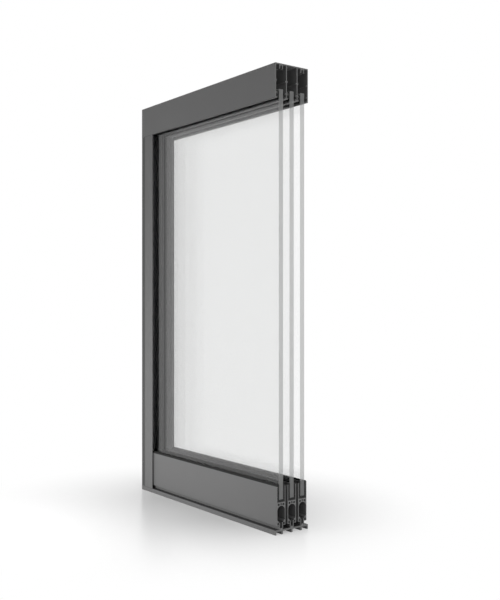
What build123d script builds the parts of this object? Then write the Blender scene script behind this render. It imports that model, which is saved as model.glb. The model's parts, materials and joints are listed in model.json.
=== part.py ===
"""Cut corner of a three-track frameless sliding door: head, side jamb, threshold track
and three panes of glass on roller rails, sawn open at the right-hand end.

Axes: X along the door with the sawn end at +X, Y through its depth with the front at -Y,
Z up. The origin is on the floor under the middle of the section. Sizes are millimetres."""
import os
from build123d import *

# Overall size
door_width = 494.0
door_height = 880.0
frame_depth = 80.0
track_pitch = 26.0
track_count = 3
wall = 2.0
edge_round = 0.5

# Head track
head_height = 65.0
head_plate = 2.2
guide_rib_drop = 31.2
guide_rib_proud = 1.7
guide_rib_height = 2.4
seal_groove_height = 10.4
seal_groove_proud = 2.8
seal_lip = 1.4
seal_return_depth = 1.6
seal_return = 1.0
screw_port_width = 9.0
screw_port_bore = 5.2
screw_port_drop = 8.0

# Bottom track
land_height = 9.2
foot_height = 6.0
edge_foot_width = 2.6
inner_foot_width = 3.6
inner_foot_spacing = 23.2
rib_inner = 2.65
rib_thick = 1.8
rib_top = 22.6
groove_floor = 7.6
runner_half_width = 2.55
runner_shoulder = 9.6
runner_bead = 2.0
runner_top = 12.4

# Side jamb, end caps and wall strips
end_cap_length = 14.0
jamb_length = 33.0
jamb_back = 38.0
cope_half_width = 5.2
cope_top = 24.0
jamb_port_radius = 3.5
jamb_port_bore = 2.1
jamb_port_stem = 2.4
wall_strip_recess = 0.5
wall_strip_depth = 6.0

# Screw holes of the end caps
jamb_screw_radius = 2.2
jamb_screw_head = 4.0
jamb_screw_grip = 12.0
head_screw_radius = 2.8
head_screw_head = 4.8

# Leaf rail, from its lower edge up
rail_half = 10.4
rail_wall = 1.5
rail_bottom = 17.0
rail_top = 90.0
pocket_floor = 60.5
arch_centre = 44.8
funnel_top = 27.4
funnel_lip = 24.0
slot_half = 5.0
slot_bottom = 22.9
skirt_inner = 5.9
brush_groove_inner = 6.7
brush_groove_outer = 8.6
brush_groove_low = 18.3
brush_groove_high = 22.5
brush_mouth_low = 19.3
brush_mouth_high = 21.6
screw_tube_radius = 2.1
screw_tube_y = 5.6
screw_tube_z = 56.0
web_cell_half = 1.2
tooth_count = 5
tooth_pitch = 5.0
tooth_proud = 0.6
first_tooth = 64.5

# Glass and gasket
glass_thick = 10.0
glass_bottom = 65.0
glass_top = 832.0
glass_arris = 0.8
gasket_half = 8.2
gasket_top = 94.0
gasket_cap_half = 10.2
gasket_cap_radius = 3.6
closing_gap = 8.0

# Rollers
axle_height = 30.6
wheel_half_width = 2.3
wheel_clearance = 0.2
wheel_tread_half = 0.9
wheel_groove_half = 1.9
wheel_flange_height = 11.6
axle_radius = 2.5
axle_half_length = 6.2
axle_play = 0.02
housing_half_length = 32.0
housing_bottom = 29.6
housing_arch_gap = 0.3
housing_end_chamfer = 1.0
housing_slot_half = 2.8
housing_slot_margin = 1.0
adjuster_radius = 2.5
adjuster_height = 44.0
adjuster_depth = 9.0
carriage_offsets = (45.0, 265.0)

seal_gap = 0.3

# Worked out from the sizes above
left_end = -door_width / 2
cut_end = door_width / 2
front = -frame_depth / 2
back = frame_depth / 2
profile_left = left_end + end_cap_length
leaf_left = profile_left + closing_gap
head_bottom = door_height - head_height
jamb_right = profile_left + jamb_length
track_ys = [track_pitch * (n - (track_count - 1) / 2) for n in range(track_count)]
channel_half = (track_pitch - wall) / 2
wall_ys = [track_ys[0] - track_pitch / 2] + [y + track_pitch / 2 for y in track_ys]
pocket_half = rail_half - rail_wall
head_port_height = door_height - head_plate - screw_port_width / 2 + 0.6
jamb_port_x = left_end + end_cap_length / 2


def box2d(u_low, u_high, v_low, v_high):
    """A rectangle of a section, given by its low and high corners."""
    middle = Pos((u_low + u_high) / 2, (v_low + v_high) / 2)
    return middle * Rectangle(u_high - u_low, v_high - v_low)


def both_sides(shape):
    """A section together with its mirror image about the track's middle plane."""
    return shape + mirror(shape, about=Plane.YZ)


def eased(section, half_width, height):
    """The section with its two outer corners at one height rounded off."""
    corners = [p for p in section.vertices()
               if abs(abs(p.X) - half_width) < 1e-3 and abs(p.Y - height) < 1e-3]
    return fillet(corners, edge_round)


def along_door(section, x_low, x_high):
    """A section of Y and Z, run along the door."""
    return extrude(Plane.YZ.offset(x_low) * section, amount=x_high - x_low)


def upright(section, z_low, z_high):
    """A section of X and Y, run upwards."""
    return extrude(Plane.XY.offset(z_low) * section, amount=z_high - z_low)


def walls_across(v_low, v_high):
    """The front wall, the partitions and the back wall of a track, in section."""
    return Sketch() + [box2d(y - wall / 2, y + wall / 2, v_low, v_high) for y in wall_ys]


def head_seal_groove():
    """The two lips at the foot of one channel wall, which hold a pile seal between them."""
    proud = channel_half - seal_groove_proud
    top = head_bottom + seal_groove_height
    lips = box2d(proud, channel_half, head_bottom, head_bottom + seal_lip)
    lips += box2d(proud, channel_half, top - seal_lip, top)
    foot = head_bottom + seal_lip
    lips += box2d(proud, proud + seal_return, foot, foot + seal_return_depth)
    lips += box2d(proud, proud + seal_return, top - seal_lip - seal_return_depth, top - seal_lip)
    return lips


def head_guide_rib():
    """The small square rib part way up a channel wall."""
    high = door_height - guide_rib_drop
    return box2d(channel_half - guide_rib_proud, channel_half, high - guide_rib_height, high)


def head_screw_port():
    """The arched screw port under the head's top plate, open at its foot."""
    roof = door_height - head_plate
    foot = roof - screw_port_drop
    outer = screw_port_width / 2
    bore = screw_port_bore / 2
    port = box2d(-outer, outer, foot, roof)
    port -= Pos(0, head_port_height) * Circle(bore)
    port -= box2d(-bore, bore, foot, head_port_height)
    return port


def head_track():
    """Head extrusion: a plate over four walls, with ribs, screw ports and seal grooves."""
    section = box2d(front, back, door_height - head_plate, door_height)
    section += walls_across(head_bottom, door_height)
    section = eased(section, back, door_height)
    section = eased(section, back, head_bottom)
    for y in track_ys:
        section += Pos(y, 0) * both_sides(head_seal_groove() + head_guide_rib())
    for y in (track_ys[0], track_ys[-1]):
        section += Pos(y, 0) * head_screw_port()
    return along_door(section, profile_left, cut_end)


def head_seal(y):
    """The pair of pile seals at the foot of one head channel, flared against the pane."""
    back_face = channel_half - 0.1
    mouth = channel_half - seal_groove_proud + seal_return
    tip = glass_thick / 2 + seal_gap
    low = head_bottom + seal_lip + 0.2
    high = head_bottom + seal_groove_height - seal_lip - 0.2
    throat_low = low + seal_return_depth
    throat_high = high - seal_return_depth
    backing = box2d(mouth + 0.1, back_face, low, high)
    pile = make_face(Polyline(
        (mouth + 0.1, throat_low), (mouth - seal_return, throat_low), (tip, head_bottom + 0.6),
        (tip, head_bottom + seal_groove_height - 0.6), (mouth - seal_return, throat_high),
        (mouth + 0.1, throat_high), close=True))
    return along_door(Pos(y, 0) * both_sides(backing + pile), profile_left, cut_end)


def bottom_track():
    """Threshold extrusion: a plate on five feet, with a pair of ribs for each running rail."""
    section = eased(box2d(front, back, foot_height, land_height), back, land_height)
    section += both_sides(box2d(back - edge_foot_width, back, 0, foot_height))
    for middle in (-inner_foot_spacing, 0, inner_foot_spacing):
        section += Pos(middle, foot_height / 2) * Rectangle(inner_foot_width, foot_height)
    for y in track_ys:
        rib = box2d(rib_inner, rib_inner + rib_thick, land_height, rib_top)
        rib = fillet(rib.vertices().group_by(Axis.Y)[-1], rib_thick * 0.4)
        section += Pos(y, 0) * both_sides(rib)
        section -= box2d(y - rib_inner, y + rib_inner, groove_floor, land_height)
    return along_door(section, profile_left, cut_end)


def running_rail(y):
    """The round-topped rail that lies in the groove between a pair of ribs."""
    bead_centre = runner_top - runner_bead
    section = box2d(-runner_half_width, runner_half_width, groove_floor, runner_shoulder)
    section += box2d(-runner_bead, runner_bead, runner_shoulder, bead_centre)
    section += Pos(0, bead_centre) * Circle(runner_bead)
    return along_door(Pos(y, 0) * section, profile_left, cut_end)


def side_jamb():
    """Jamb extrusion: a web with a front wall and two partitions, open at the back and coped
    at its foot over the track's ribs."""
    section = box2d(profile_left, profile_left + wall, front, jamb_back)
    for y in wall_ys[:-1]:
        section += box2d(profile_left, jamb_right, y - wall / 2, y + wall / 2)
    section = fillet(section.vertices().group_by(Axis.X)[-1], edge_round)
    for y in (track_ys[0], track_ys[-1]):
        section += box2d(jamb_port_x, profile_left, y - jamb_port_stem / 2, y + jamb_port_stem / 2)
        section += Pos(jamb_port_x, y) * Circle(jamb_port_radius)
        section -= Pos(jamb_port_x, y) * Circle(jamb_port_bore)
    jamb = upright(section, land_height, head_bottom)
    for y in track_ys:
        cope = box2d(y - cope_half_width, y + cope_half_width, land_height, cope_top)
        jamb -= along_door(cope, left_end, profile_left + wall)
    return jamb


def end_block(section):
    """A block as long as an end cap, with the outline of its wall face broken."""
    block = along_door(section, left_end, profile_left)
    return chamfer(block.faces().sort_by(Axis.X)[0].edges(), edge_round)


def head_end_cap():
    """The head's end cap, with screw holes into the head's ports and down into the jamb's."""
    section = eased(box2d(front, back, head_bottom, door_height), back, door_height)
    cap = end_block(eased(section, back, head_bottom))
    for y in (track_ys[0], track_ys[-1]):
        wall_side = Plane(origin=(left_end, y, head_port_height), z_dir=(-1, 0, 0))
        cap -= wall_side * CounterSinkHole(head_screw_radius, head_screw_head, end_cap_length)
        cap -= Pos(jamb_port_x, y, door_height) * CounterBoreHole(
            jamb_screw_radius, jamb_screw_head, head_height - jamb_screw_grip, head_height)
    return cap


def track_end_cap():
    """The bottom track's end cap, with screw holes up into the jamb's ports."""
    cap = end_block(eased(box2d(front, back, 0, land_height), back, land_height))
    for y in (track_ys[0], track_ys[-1]):
        underside = Plane(origin=(jamb_port_x, y, 0), z_dir=(0, 0, -1))
        cap -= underside * CounterSinkHole(jamb_screw_radius, jamb_screw_head, land_height)
    return cap


def wall_strips():
    """The strips that fill the joint between the jamb and the wall, at its front and back."""
    outer = front + wall_strip_recess
    strips = box2d(left_end, profile_left, outer, outer + wall_strip_depth)
    strips += box2d(left_end, profile_left, jamb_back - wall_strip_depth, jamb_back)
    return upright(strips, land_height, head_bottom)


def roller_chamber():
    """The hollow of a leaf rail's lower half: arched roof, funnel floor, slot and skirts."""
    chamber = make_face(Polyline(
        (-pocket_half, arch_centre), (-pocket_half, funnel_top), (-slot_half, funnel_lip),
        (slot_half, funnel_lip), (pocket_half, funnel_top), (pocket_half, arch_centre),
        close=True))
    chamber += Pos(0, arch_centre) * Circle(pocket_half)
    chamber += box2d(-slot_half, slot_half, slot_bottom, funnel_lip)
    chamber += box2d(-skirt_inner, skirt_inner, rail_bottom, slot_bottom)
    groove = box2d(brush_groove_inner, brush_groove_outer, brush_groove_low, brush_groove_high)
    groove += box2d(skirt_inner, brush_groove_outer, brush_mouth_low, brush_mouth_high)
    return chamber + both_sides(groove)


def pocket_teeth():
    """The gripping teeth down one inner face of the glazing pocket."""
    teeth = box2d(pocket_half - tooth_proud, pocket_half, rail_top - 2.0, rail_top)
    for index in range(tooth_count):
        z = first_tooth + index * tooth_pitch
        teeth += make_face(Polyline(
            (pocket_half, z), (pocket_half - tooth_proud, z + 0.4), (pocket_half, z + 1.6),
            close=True))
    return teeth


def leaf_rail(y):
    """Leaf extrusion: glazing pocket above, two screw tubes, and the roller chamber below."""
    section = eased(box2d(-rail_half, rail_half, rail_bottom, rail_top), rail_half, rail_top)
    section = eased(section, rail_half, rail_bottom)
    section -= box2d(-pocket_half, pocket_half, pocket_floor, rail_top)
    section -= roller_chamber()
    section -= both_sides(Pos(screw_tube_y, screw_tube_z) * Circle(screw_tube_radius))
    cell_low = arch_centre + pocket_half + rail_wall - 0.4
    section -= box2d(-web_cell_half, web_cell_half, cell_low, pocket_floor - 1.6)
    section += both_sides(pocket_teeth())
    return along_door(Pos(y, 0) * section, leaf_left, cut_end)


def glazing_gasket(y):
    """The black U gasket that seats the pane, with a rounded cap over the rail's edges."""
    half_glass = glass_thick / 2
    section = box2d(-gasket_half, gasket_half, pocket_floor, rail_top)
    cap = box2d(-gasket_cap_half, gasket_cap_half, rail_top, gasket_top)
    cap = fillet(cap.vertices().group_by(Axis.Y)[-1], gasket_cap_radius)
    section += cap
    section -= box2d(-half_glass, half_glass, glass_bottom, gasket_top)
    return along_door(Pos(y, 0) * section, leaf_left, cut_end)


def glass_pane(y):
    """One pane of toughened glass, its edges ground to a small arris all round."""
    half_glass = glass_thick / 2
    pane = along_door(box2d(y - half_glass, y + half_glass, glass_bottom, glass_top),
                      leaf_left, cut_end)
    return chamfer(pane.edges(), glass_arris)


def rail_seals(y):
    """The two brush strips in a leaf rail's skirts, which close on the track's ribs."""
    tip = rib_inner + rib_thick + seal_gap
    backing = box2d(brush_groove_inner + 0.1, brush_groove_outer - 0.1,
                    brush_groove_low + 0.1, brush_groove_high - 0.1)
    pile = box2d(tip, brush_groove_inner + 0.1, brush_mouth_low + 0.1, brush_mouth_high - 0.1)
    return along_door(Pos(y, 0) * both_sides(backing + pile), leaf_left, cut_end)


def carriage_place(y, offset):
    """Where a roller's axle crosses its track."""
    return Pos(leaf_left + offset, y, axle_height)


def roller_wheel(y, offset):
    """A grooved roller and its axle, turned in one piece; it rides over the running rail."""
    tread = axle_height - runner_top - wheel_clearance
    flange = axle_height - wheel_flange_height
    profile = make_face(Polyline(
        (-wheel_half_width, 0), (-wheel_half_width, flange), (-wheel_groove_half, flange),
        (-wheel_tread_half, tread), (wheel_tread_half, tread), (wheel_groove_half, flange),
        (wheel_half_width, flange), (wheel_half_width, 0), close=True))
    profile += box2d(-axle_half_length, axle_half_length, 0, axle_radius)
    roller = revolve(Plane.YZ * profile, axis=Axis.Y)
    return carriage_place(y, offset) * roller


def roller_housing(y, offset):
    """The carriage in the roller chamber: an arched block with a slot for its wheel, a bore
    for the axle and, in each end, the bore of a height-adjusting screw."""
    shoulder = arch_centre - axle_height
    section = box2d(-pocket_half, pocket_half, housing_bottom - axle_height, shoulder)
    section += Pos(0, shoulder) * Circle(pocket_half - housing_arch_gap)
    block = along_door(section, -housing_half_length, housing_half_length)
    ends = block.faces().sort_by(Axis.X)
    block = chamfer(ends[0].edges() + ends[-1].edges(), housing_end_chamfer)
    wheel_room = axle_height - wheel_flange_height + housing_slot_margin
    turned = Rot(90, 0, 0)
    block -= turned * Cylinder(wheel_room, 2 * housing_slot_half)
    block -= turned * Cylinder(axle_radius + axle_play, 2 * axle_half_length + 0.4)
    for way in (-1, 1):
        end = Plane(origin=(way * housing_half_length, 0, adjuster_height - axle_height),
                    z_dir=(way, 0, 0))
        block -= end * Hole(adjuster_radius, adjuster_depth)
    return carriage_place(y, offset) * block


def write(name, shape):
    export_step(shape, f"parts/{name}.step")


os.makedirs("parts", exist_ok=True)
write("head_track", head_track())
write("bottom_track", bottom_track())
write("side_jamb", side_jamb())
write("head_end_cap", head_end_cap())
write("track_end_cap", track_end_cap())
write("wall_strips", wall_strips())
for number, track_y in enumerate(track_ys, start=1):
    write(f"head_seal_{number}", head_seal(track_y))
    write(f"running_rail_{number}", running_rail(track_y))
    write(f"leaf_rail_{number}", leaf_rail(track_y))
    write(f"glazing_gasket_{number}", glazing_gasket(track_y))
    write(f"glass_pane_{number}", glass_pane(track_y))
    write(f"rail_seals_{number}", rail_seals(track_y))
    for letter, carriage_offset in zip("ab", carriage_offsets):
        write(f"roller_wheel_{number}{letter}", roller_wheel(track_y, carriage_offset))
        write(f"roller_housing_{number}{letter}", roller_housing(track_y, carriage_offset))
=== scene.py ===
# Looks of the sliding door corner sample: finishes, ground glass edges, pile fibres and screws.
import json
import math
import random

import bmesh
import bpy
from mathutils import Matrix, Vector


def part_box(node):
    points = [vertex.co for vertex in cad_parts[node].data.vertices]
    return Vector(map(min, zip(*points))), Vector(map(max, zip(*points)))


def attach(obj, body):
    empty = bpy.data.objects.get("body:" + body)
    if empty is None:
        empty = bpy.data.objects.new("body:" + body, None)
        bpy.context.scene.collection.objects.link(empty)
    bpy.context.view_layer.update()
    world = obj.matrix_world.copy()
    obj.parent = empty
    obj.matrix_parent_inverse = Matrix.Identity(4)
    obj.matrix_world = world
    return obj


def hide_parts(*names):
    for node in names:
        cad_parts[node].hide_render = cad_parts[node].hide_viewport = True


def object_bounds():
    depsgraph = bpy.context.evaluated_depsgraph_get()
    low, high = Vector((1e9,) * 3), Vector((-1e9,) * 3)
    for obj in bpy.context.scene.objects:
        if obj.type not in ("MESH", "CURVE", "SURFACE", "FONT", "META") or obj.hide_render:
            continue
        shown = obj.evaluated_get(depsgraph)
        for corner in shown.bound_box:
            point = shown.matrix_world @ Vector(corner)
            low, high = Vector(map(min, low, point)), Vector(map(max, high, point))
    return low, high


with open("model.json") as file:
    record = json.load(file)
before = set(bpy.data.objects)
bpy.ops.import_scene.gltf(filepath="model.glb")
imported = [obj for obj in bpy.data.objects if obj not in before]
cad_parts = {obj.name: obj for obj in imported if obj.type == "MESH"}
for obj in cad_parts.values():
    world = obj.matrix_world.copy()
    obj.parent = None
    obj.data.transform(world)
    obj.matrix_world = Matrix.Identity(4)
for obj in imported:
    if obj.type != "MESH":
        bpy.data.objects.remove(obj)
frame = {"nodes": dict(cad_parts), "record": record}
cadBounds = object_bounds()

scene = bpy.context.scene
leafNumbers = (1, 2, 3)
sawnEnd = cadBounds[1].x


# Shader helpers

def feed(tree, socket, value):  # links another node's output, or sets a plain value
    if isinstance(value, bpy.types.NodeSocket):
        tree.links.new(value, socket)
    else:
        socket.default_value = value


def feedByName(tree, node, values):
    for name, value in values.items():
        feed(tree, node.inputs[name], value)


def feedInOrder(tree, node, *values):
    for socket, value in zip(node.inputs, values):
        feed(tree, socket, value)
    return node.outputs[0]


def addNode(tree, kind, values=None, **settings):
    node = tree.nodes.new(kind)
    for name, setting in settings.items():
        setattr(node, name, setting)
    feedByName(tree, node, values or {})
    return node


def mathNode(tree, operation, *values):
    return feedInOrder(tree, addNode(tree, "ShaderNodeMath", operation=operation), *values)


def mapRange(tree, value, fromEnds, toEnds, **settings):
    values = {"Value": value, "From Min": fromEnds[0], "From Max": fromEnds[1],
              "To Min": toEnds[0], "To Max": toEnds[1]}
    return addNode(tree, "ShaderNodeMapRange", values, **settings).outputs["Result"]


def splitAxes(tree, vector):
    return addNode(tree, "ShaderNodeSeparateXYZ", {"Vector": vector}).outputs


def objectPattern(tree, scale=(1, 1, 1), shift=(0, 0, 0)):
    coords = addNode(tree, "ShaderNodeTexCoord").outputs["Object"]
    values = {"Vector": coords, "Scale": scale, "Location": shift}
    return addNode(tree, "ShaderNodeMapping", values).outputs["Vector"]


def noise(tree, vector, scale, detail=2.0):
    values = {"Vector": vector, "Scale": scale, "Detail": detail}
    return addNode(tree, "ShaderNodeTexNoise", values).outputs["Fac"]


noiseEnds = (0.3, 0.7)  # a noise seldom leaves these values


def spread(tree, value, ends):
    return mapRange(tree, value, noiseEnds, ends)


def mixColour(tree, factor, first, second):
    node = addNode(tree, "ShaderNodeMix", {"Factor": factor}, data_type="RGBA")
    ends = [socket for socket in node.inputs if socket.type == "RGBA"]
    for socket, colour in zip(ends, (first, second)):
        feed(tree, socket, colour)
    return [socket for socket in node.outputs if socket.type == "RGBA"][0]


def grey(value):
    return (value, value, value, 1)


def mixTones(tree, factor, p):
    ends = [grey(p["tone"] + swing) for swing in (-p["toneSwing"], p["toneSwing"])]
    return mixColour(tree, factor, *ends)


def bump(tree, shader, height, strength, distance):
    values = {"Height": height, "Strength": strength, "Distance": distance}
    node = addNode(tree, "ShaderNodeBump", values)
    tree.links.new(node.outputs["Normal"], shader.inputs["Normal"])


def newMaterial(name):
    material = bpy.data.materials.new(name)
    material.use_nodes = True
    tree = material.node_tree
    return material, tree, tree.nodes["Principled BSDF"]


# Finishes

grainDetail = 3.0
powderCoat = {
    "tone": 0.106, "toneSwing": 0.004, "toneScale": 9.0, "roughness": (0.38, 0.47), "gloss": 0.3,
    "grainScale": 1400.0, "grainStrength": 0.35, "grainDepth": 0.00004,
}
# width and depth of the painted shadow along the seams of the jamb
jointShadowLine = {"width": 0.0007, "shade": 0.35}
sawMarks = {
    "tone": 0.13, "toneSwing": 0.02, "lineScale": 260.0, "wander": 3.0, "depth": 0.00006,
    "facing": 0.9, "reach": 0.0005,
}


def sawnMask(tree):  # 1 on the faces that the saw left, at the +X end
    normal = addNode(tree, "ShaderNodeNewGeometry").outputs["Normal"]
    facing = mathNode(tree, "GREATER_THAN", splitAxes(tree, normal)["X"], sawMarks["facing"])
    place = splitAxes(tree, objectPattern(tree))["X"]
    atEnd = mathNode(tree, "GREATER_THAN", place, sawnEnd - sawMarks["reach"])
    return mathNode(tree, "MULTIPLY", facing, atEnd)


def paintedJointShadow(tree):  # painted shadow: darkens a hairline where the jamb meets the head and the bottom track, standing in for the shade in the seam
    height = splitAxes(tree, objectPattern(tree))["Z"]
    gaps = [mathNode(tree, "ABSOLUTE", mathNode(tree, "SUBTRACT", height, end.z))
            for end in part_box("side_jamb")]
    nearest = mathNode(tree, "MINIMUM", *gaps)
    return mapRange(tree, nearest, (0, jointShadowLine["width"]), (jointShadowLine["shade"], 1))


def makePowderCoat():
    material, tree, shader = newMaterial("darkPowderCoat")
    p = powderCoat
    vector = objectPattern(tree)
    coat = mixTones(tree, noise(tree, vector, p["toneScale"]), p)
    # the coat colour darkened by the painted seam shadow
    coatWithJointShadow = addNode(tree, "ShaderNodeVectorMath", {"Vector": coat, "Scale": paintedJointShadow(tree)},
                      operation="SCALE").outputs["Vector"]
    lines = addNode(tree, "ShaderNodeTexWave",
                    {"Vector": vector, "Scale": sawMarks["lineScale"],
                     "Distortion": sawMarks["wander"]},
                    wave_type="BANDS", bands_direction="DIAGONAL").outputs["Fac"]
    sawn = sawnMask(tree)
    grain = noise(tree, vector, p["grainScale"], grainDetail)
    feedByName(tree, shader, {
        "Base Color": mixColour(tree, sawn, coatWithJointShadow, mixTones(tree, lines, sawMarks)),
        "Roughness": spread(tree, grain, p["roughness"]),
        "Specular IOR Level": p["gloss"],
    })
    scores = mathNode(tree, "MULTIPLY", lines, sawn)
    deep = mathNode(tree, "MULTIPLY", scores, sawMarks["depth"] / p["grainDepth"])
    bump(tree, shader, mathNode(tree, "ADD", grain, deep), p["grainStrength"], p["grainDepth"])
    return material


grainySurface = {"toneScale": 30.0, "strength": 0.4, "depth": 0.00005}
capNylon = {"tone": 0.095, "toneSwing": 0.006, "roughness": (0.44, 0.56), "grainScale": 2600.0}
rollerNylon = {"tone": 0.62, "toneSwing": 0.015, "roughness": (0.36, 0.48), "grainScale": 900.0}
housingNylon = {"tone": 0.04, "toneSwing": 0.006, "roughness": (0.42, 0.54), "grainScale": 1800.0}
screwSteel = {"tone": 0.3, "toneSwing": 0.02, "roughness": (0.22, 0.34), "grainScale": 1200.0}


def makeGrainy(name, p, metal=0.0):  # moulded nylon, and the steel of the screws
    material, tree, shader = newMaterial(name)
    vector = objectPattern(tree)
    grain = noise(tree, vector, p["grainScale"], grainDetail)
    feedByName(tree, shader, {
        "Base Color": mixTones(tree, noise(tree, vector, grainySurface["toneScale"]), p),
        "Roughness": spread(tree, grain, p["roughness"]),
        "Metallic": metal,
    })
    bump(tree, shader, grain, grainySurface["strength"], grainySurface["depth"])
    return material


alongX, alongZ = (0.02, 1, 1), (1, 1, 0.02)
drawnLines = {"detail": 4.0, "depth": 0.00003}
stripPlastic = {
    "tone": 0.04, "toneSwing": 0.004, "roughness": (0.48, 0.62), "gloss": 0.5,
    "lineScale": 1500.0, "lineStrength": 0.3,
}
gasketRubber = {
    "tone": 0.026, "toneSwing": 0.002, "roughness": (0.53, 0.67), "gloss": 0.05,
    "lineScale": 900.0, "lineStrength": 0.1,
}
railSteel = {
    "tone": 0.2, "toneSwing": 0.015, "roughness": (0.23, 0.37), "gloss": 0.5,
    "lineScale": 2500.0, "lineStrength": 0.3,
}


def makeDrawn(name, p, stretch, metal=0.0):  # lines left by the die along one axis
    material, tree, shader = newMaterial(name)
    lines = noise(tree, objectPattern(tree, stretch), p["lineScale"], drawnLines["detail"])
    feedByName(tree, shader, {
        "Base Color": mixTones(tree, lines, p),
        "Roughness": spread(tree, lines, p["roughness"]),
        "Metallic": metal,
        "Specular IOR Level": p["gloss"],
    })
    bump(tree, shader, lines, p["lineStrength"], drawnLines["depth"])
    return material


clearGlass = {
    "tint": (0.93, 0.932, 0.931), "tintSwing": 0.003, "ior": 1.001, "surfaceIor": 1.56,
    "streakScale": 5.0, "streakStretch": (1, 1, 0.15),
}


def makeGlass():
    material, tree, shader = newMaterial("clearGlass")
    p = clearGlass
    vector = objectPattern(tree, p["streakStretch"])
    streaks = noise(tree, vector, p["streakScale"], grainDetail)
    ends = [(*[channel + swing for channel in p["tint"]], 1)
            for swing in (-p["tintSwing"], p["tintSwing"])]
    feedByName(tree, shader, {
        "Base Color": mixColour(tree, streaks, *ends),
        "Transmission Weight": 1,
        "Roughness": 0,
        "IOR": p["ior"],  # hardly bends the view, so the gloss comes from the coat
        "Coat Weight": 1,
        "Coat IOR": p["surfaceIor"],
        "Coat Roughness": 0,
    })
    return material


groundEdge = {
    "tint": (0.43, 0.434, 0.432, 1), "clearShare": 0.66, "roughness": (0.45, 0.58),
    "grainScale": 2200.0, "grainStrength": 0.25, "grainDepth": 0.00003,
}


def makeGroundEdge():
    material, tree, shader = newMaterial("groundGlassEdge")
    p = groundEdge
    grain = noise(tree, objectPattern(tree), p["grainScale"], grainDetail)
    feedByName(tree, shader, {
        "Base Color": p["tint"],
        "Transmission Weight": p["clearShare"],
        "IOR": clearGlass["ior"],
        "Roughness": spread(tree, grain, p["roughness"]),
    })
    bump(tree, shader, grain, p["grainStrength"], p["grainDepth"])
    return material


pileFibre = {
    "tone": 0.012, "toneSwing": 0.005, "roughness": 0.9, "gloss": 0.2, "sheen": 0.1,
    "tuftScale": 1700.0, "tuftDetail": 1.0,
}


def makePile():
    material, tree, shader = newMaterial("blackPile")
    p = pileFibre
    tufts = noise(tree, objectPattern(tree), p["tuftScale"], p["tuftDetail"])
    feedByName(tree, shader, {
        "Base Color": mixTones(tree, tufts, p),
        "Roughness": p["roughness"],
        "Specular IOR Level": p["gloss"],
        "Sheen Weight": p["sheen"],
    })
    return material


finishes = {
    "dark_aluminium": makePowderCoat(),
    "end_cap": makeGrainy("capNylon", capNylon),
    "wall_strip": makeDrawn("stripPlastic", stripPlastic, alongZ),
    "black_pile": makePile(),
    "steel_rail": makeDrawn("drawnSteel", railSteel, alongX, metal=1.0),
    "clear_glass": makeGlass(),
    "black_rubber": makeDrawn("gasketRubber", gasketRubber, alongX),
    "roller": makeGrainy("rollerNylon", rollerNylon),
    "roller_housing": makeGrainy("housingNylon", housingNylon),
}
edgeFinish = makeGroundEdge()
screwFinish = makeGrainy("screwSteel", screwSteel, metal=1.0)
slotOfNode = {row["node"]: row["material_slot"] for row in frame["record"]["subparts"]}
for nodeName, node in frame["nodes"].items():
    node.data.materials.clear()
    node.data.materials.append(finishes[slotOfNode[nodeName]])
print("finishes:", len(finishes) + 2)


# New pieces

def objectFrom(bm, name, *materials):
    mesh = bpy.data.meshes.new(name)
    bm.to_mesh(mesh)
    bm.free()
    for material in materials:
        mesh.materials.append(material)
    made = bpy.data.objects.new(name, mesh)
    scene.collection.objects.link(made)
    return made


def pieceFrom(bm, name, body, slotName, *materials):
    piece = objectFrom(bm, name, *materials)
    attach(piece, body)
    return piece


def addBlock(bm, low, high):
    low, high = Vector(low), Vector(high)
    size = high - low
    place = Matrix.Translation((low + high) / 2) @ Matrix.Diagonal((*size, 1))
    return bmesh.ops.create_cube(bm, size=1.0, matrix=place)["verts"]


paneEdge = {"arris": 0.0009, "segments": 2, "largeFace": 0.99}


def makePane(number):  # the large faces are clear, the edges and their arrises ground
    bm = bmesh.new()
    addBlock(bm, *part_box(f"glass_pane_{number}"))
    bmesh.ops.bevel(bm, geom=bm.edges[:], offset=paneEdge["arris"], affect="EDGES",
                    segments=paneEdge["segments"], profile=0.5, material=-1)
    for face in bm.faces:
        face.material_index = 0 if abs(face.normal.y) > paneEdge["largeFace"] else 1
    pane = pieceFrom(bm, f"ground_pane_{number}", f"leaf_{number}", "clear_glass",
                     finishes["clear_glass"], edgeFinish)
    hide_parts(f"glass_pane_{number}")


for leafNumber in leafNumbers:
    makePane(leafNumber)
print("panes with ground edges:", len(leafNumbers))


pile = {
    "seed": 7, "segment": 0.016, "step": 0.0004, "scatter": (0.2, 0.8), "radius": 0.00009,
    "lean": 0.0004, "shortest": 0.75, "packing": 0.9, "core": 0.6,
}
headPile = {
    "root": 0.0103, "tip": 0.00508, "throat": 0.0013, "fan": 0.0043, "rows": 11, "backing": 0.0036,
}
railPile = {
    "root": 0.0068, "tip": 0.0046, "throat": 0.0009, "fan": 0.001, "rows": 4, "backing": 0.002,
}


def addFibre(bm, start, end):
    along = end - start
    place = (Matrix.Translation((start + end) / 2)
             @ along.to_track_quat("Z", "Y").to_matrix().to_4x4())
    bmesh.ops.create_cone(bm, cap_ends=True, segments=3, radius1=pile["radius"], radius2=0.0,
                          depth=along.length, matrix=place)


def addTufts(bm, low, middle, shape):  # one segment's fibres, on both sides of the pane
    draw = random.Random(pile["seed"])
    for side in (-1, 1):
        for column in range(round(pile["segment"] / pile["step"])):
            for row in range(shape["rows"]):
                share = 2 * (row + draw.random()) / shape["rows"] - 1
                length = (shape["root"] - shape["tip"]) * draw.uniform(pile["shortest"], 1.0)
                x = low.x + (column + draw.uniform(*pile["scatter"])) * pile["step"]
                start = Vector((x, middle.y + side * shape["root"],
                                middle.z + share * shape["throat"] * pile["packing"]))
                end = Vector((x + draw.uniform(-1, 1) * pile["lean"],
                              middle.y + side * (shape["root"] - length),
                              middle.z + share * shape["fan"]))
                addFibre(bm, start, end)


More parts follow.
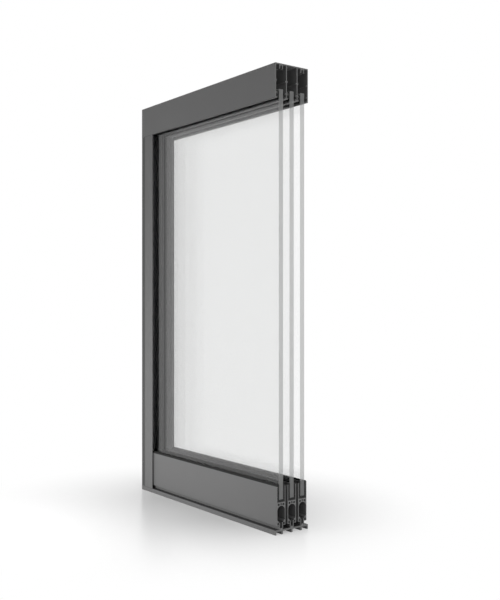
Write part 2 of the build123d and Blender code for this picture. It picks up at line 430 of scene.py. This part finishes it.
def repeatTufts(bm, length):
    tufts = bm.verts[:] + bm.edges[:] + bm.faces[:]
    repeats = int((length - pile["lean"]) / pile["segment"])
    for count in range(1, repeats):
        copied = bmesh.ops.duplicate(bm, geom=tufts)["geom"]
        moved = [part for part in copied if isinstance(part, bmesh.types.BMVert)]
        bmesh.ops.translate(bm, verts=moved, vec=(count * length / repeats, 0, 0))


def addPileBody(bm, low, high, side, middle, shape):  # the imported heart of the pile
    reach = shape["root"] - (shape["root"] - shape["tip"]) * pile["core"]
    fan = shape["throat"] + (shape["fan"] - shape["throat"]) * pile["core"]
    near, far = sorted((middle.y + side * reach, middle.y + side * shape["root"]))
    corners = addBlock(bm, (low.x, near, middle.z - shape["throat"]),
                       (high.x, far, middle.z + shape["throat"]))
    for corner in corners:
        if abs(corner.co.y - middle.y) < (reach + shape["root"]) / 2:
            corner.co.z = middle.z + math.copysign(fan, corner.co.z - middle.z)


def addBacking(bm, low, high, side, middle, shape):
    root, outer = sorted((middle.y + side * shape["root"], low.y if side < 0 else high.y))
    addBlock(bm, (low.x, root, middle.z - shape["backing"]),
             (high.x, outer, middle.z + shape["backing"]))


def makePileStrips(name, body, node, shape):
    low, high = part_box(node)
    middle = (low + high) / 2
    bm = bmesh.new()
    addTufts(bm, low, middle, shape)
    repeatTufts(bm, high.x - low.x)
    for side in (-1, 1):
        addPileBody(bm, low, high, side, middle, shape)
        addBacking(bm, low, high, side, middle, shape)
    strips = pieceFrom(bm, name, body, "black_pile", finishes["black_pile"])
    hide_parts(node)


for leafNumber in leafNumbers:
    makePileStrips(f"head_pile_{leafNumber}", "frame", f"head_seal_{leafNumber}", headPile)
    makePileStrips(f"rail_pile_{leafNumber}", f"leaf_{leafNumber}", f"rail_seals_{leafNumber}",
                   railPile)
print("pile strips:", 2 * len(leafNumbers))


countersunk = {"headRadius": 0.0047, "shankRadius": 0.0027, "depth": 0.002, "socket": 0.0016}
smallCountersunk = {
    "headRadius": 0.0039, "shankRadius": 0.0021, "depth": 0.0017, "socket": 0.0013,
}
cylinderHead = {"headRadius": 0.0036, "shankRadius": 0.0036, "depth": 0.004, "socket": 0.0015}
screwDetail = {"segments": 36, "sink": 0.0003, "socketDepth": 0.6, "arris": 0.00015}
screwPlaces = {
    "belowCapTop": 0.0061,  # the head's ports, from the top of its end cap
    "aboveJamb": 0.0161,  # the tops of the jamb's screws, from the jamb's upper end
}


def addScrew(bm, shape, place, outward):  # head with a hexagon socket, its top facing outward
    detail = screwDetail
    earlier = set(bm.verts)
    made = bmesh.ops.create_cone(bm, cap_ends=True, segments=detail["segments"],
                                 radius1=shape["shankRadius"], radius2=shape["headRadius"],
                                 depth=shape["depth"])["verts"]
    top = max({face for vert in made for face in vert.link_faces},
              key=lambda face: face.calc_center_median().z)
    bmesh.ops.inset_region(bm, faces=[top], thickness=detail["arris"], depth=detail["arris"])
    bmesh.ops.inset_region(bm, faces=[top], thickness=shape["headRadius"] - 2 * shape["socket"])
    for vert in top.verts:
        angle = math.atan2(vert.co.y, vert.co.x) % (math.pi / 3) - math.pi / 6
        vert.co.xy = vert.co.xy.normalized() * shape["socket"] / math.cos(angle)
    sunk = bmesh.ops.extrude_discrete_faces(bm, faces=[top])["faces"]
    bmesh.ops.translate(bm, verts=sunk[0].verts[:],
                        vec=(0, 0, -shape["depth"] * detail["socketDepth"]))
    turn = Vector(outward).to_track_quat("Z", "Y").to_matrix().to_4x4()
    centre = Vector(place) - Vector(outward) * (shape["depth"] / 2 + detail["sink"])
    bmesh.ops.transform(bm, matrix=Matrix.Translation(centre) @ turn,
                        verts=[vert for vert in bm.verts if vert not in earlier])


def makeScrews(name, shape, places, outward):
    bm = bmesh.new()
    for place in places:
        addScrew(bm, shape, place, outward)
    pieceFrom(bm, name, "frame", "steel_rail", screwFinish)


screwRows = [sum(end.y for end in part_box(f"running_rail_{number}")) / 2 for number in (1, 3)]
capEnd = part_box("head_end_cap")[1]
portHeight = capEnd.z - screwPlaces["belowCapTop"]
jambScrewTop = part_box("side_jamb")[1].z + screwPlaces["aboveJamb"]
wallEnd, base = cadBounds[0].x, cadBounds[0].z
capMiddle = (wallEnd + capEnd.x) / 2
makeScrews("head_cap_screws", countersunk, [(wallEnd, y, portHeight) for y in screwRows],
           (-1, 0, 0))
makeScrews("jamb_screws", cylinderHead, [(capMiddle, y, jambScrewTop) for y in screwRows],
           (0, 0, 1))
makeScrews("track_cap_screws", smallCountersunk, [(capMiddle, y, base) for y in screwRows],
           (0, 0, -1))
print("screws:", 3 * len(screwRows))


# Camera, placed from the corner nearest the viewer

viewpoint = {
    "azimuth": 52.92, "depth": 1.5838, "sideways": 0.047, "height": 0.4354,
    "lens": 51.14, "sensorWidth": 36, "shiftY": 0.0023, "reach": 100,
}


def makeCamera():
    p = viewpoint
    turn = math.radians(p["azimuth"])
    forward = Vector((-math.sin(turn), math.cos(turn), 0))
    right = Vector((math.cos(turn), math.sin(turn), 0))
    corner = Vector((cadBounds[1].x, cadBounds[0].y, p["height"]))
    camera = bpy.data.objects.new("camera", bpy.data.cameras.new("camera"))
    scene.collection.objects.link(camera)
    camera.location = corner - forward * p["depth"] - right * p["sideways"]
    camera.rotation_euler = (math.pi / 2, 0, turn)
    camera.data.lens = p["lens"]
    camera.data.sensor_width = p["sensorWidth"]
    camera.data.shift_y = p["shiftY"]
    camera.data.clip_end = p["reach"]
    scene.camera = camera


# Stage: a white background, a pale floor, and soft light from above, the side and the sawn end

surroundings = {"horizon": 0.0, "zenith": 0.94, "mirroredZenith": 0.3}


def rayMask(tree, *kinds):  # 1 for rays of any of these kinds
    path = addNode(tree, "ShaderNodeLightPath")
    mask = path.outputs[kinds[0]]
    for kind in kinds[1:]:
        mask = mathNode(tree, "MAXIMUM", mask, path.outputs[kind])
    return mask


def makeWorld():  # white to the eye and through glass, a little darker overhead where mirrored
    p = surroundings
    world = bpy.data.worlds.new("studio")
    scene.world = world
    world.use_nodes = True
    tree = world.node_tree
    up = splitAxes(tree, addNode(tree, "ShaderNodeTexCoord").outputs["Generated"])["Z"]
    light = mapRange(tree, up, (0, 1), (p["horizon"], p["zenith"]))
    mirrored = mapRange(tree, up, (0, 1), (1, p["mirroredZenith"]))
    glossy = mathNode(tree, "MULTIPLY", rayMask(tree, "Is Glossy Ray"), mirrored)
    seen = rayMask(tree, "Is Camera Ray", "Is Transmission Ray")
    white = mathNode(tree, "MAXIMUM", seen, glossy)
    strength = addNode(tree, "ShaderNodeMix", {"Factor": white, "A": light, "B": 1.0})
    feedByName(tree, tree.nodes["Background"],
               {"Color": (1, 1, 1, 1), "Strength": strength.outputs["Result"]})


paleFloor = {
    "size": 30.0, "tone": 0.86, "roughness": 0.24,
    "fadeCentre": (-0.03, -0.04, 0.0), "fadeStart": 0.09, "fadeEnd": 0.52,
}


def makeFloorFinish():  # fades to white away from the object, and is clear from below
    material, tree, shader = newMaterial("paleFloor")
    p = paleFloor
    material.cycles.emission_sampling = "NONE"
    feedByName(tree, shader, {"Base Color": grey(p["tone"]), "Roughness": p["roughness"]})
    fromCentre = objectPattern(tree, shift=[-value for value in p["fadeCentre"]])
    away = addNode(tree, "ShaderNodeVectorMath", {"Vector": fromCentre}, operation="LENGTH")
    fade = mapRange(tree, away.outputs["Value"], (p["fadeStart"], p["fadeEnd"]), (0, 1),
                    interpolation_type="SMOOTHSTEP")
    seen = rayMask(tree, "Is Camera Ray", "Is Glossy Ray", "Is Transmission Ray")
    below = addNode(tree, "ShaderNodeNewGeometry").outputs["Backfacing"]
    pale = addNode(tree, "ShaderNodeEmission").outputs[0]
    clear = addNode(tree, "ShaderNodeBsdfTransparent").outputs[0]
    faded = feedInOrder(tree, addNode(tree, "ShaderNodeMixShader"),
                        mathNode(tree, "MULTIPLY", seen, fade), shader.outputs[0], pale)
    twoSided = feedInOrder(tree, addNode(tree, "ShaderNodeMixShader"),
                           mathNode(tree, "MULTIPLY", seen, below), faded, clear)
    tree.links.new(twoSided, tree.nodes["Material Output"].inputs["Surface"])
    return material


def makeFloor():
    bm = bmesh.new()
    bmesh.ops.create_grid(bm, x_segments=1, y_segments=1, size=paleFloor["size"] / 2)
    floor = objectFrom(bm, "floor", makeFloorFinish())


sideLamp = {"place": (-0.12, -0.72, 0.03), "aim": (0.05, 0.0, 0.03), "size": 0.6, "power": 9.2}
endLamp = {"place": (1.1, -0.33, 0.6), "aim": (0.2, 0.0, 0.6), "size": 0.5, "power": 2.6}
gapLamp = {"place": (1.3, 0.0, 0.2), "aim": (0.0, 0.0, 0.7), "size": 0.12, "power": 3.6}


def makeLamp(name, p):
    lamp = bpy.data.objects.new(name, bpy.data.lights.new(name, "AREA"))
    scene.collection.objects.link(lamp)
    lamp.data.shape = "DISK"
    lamp.data.size = p["size"]
    lamp.data.energy = p["power"]
    lamp.location = p["place"]
    towards = Vector(p["aim"]) - Vector(p["place"])
    lamp.rotation_euler = towards.to_track_quat("-Z", "Y").to_euler()
    lamp.visible_camera = lamp.visible_glossy = lamp.visible_transmission = False


makeCamera()
makeWorld()
makeFloor()
makeLamp("sideLamp", sideLamp)
makeLamp("endLamp", endLamp)
makeLamp("gapLamp", gapLamp)
scene.view_settings.view_transform = "Standard"
print("camera, light and floor made")
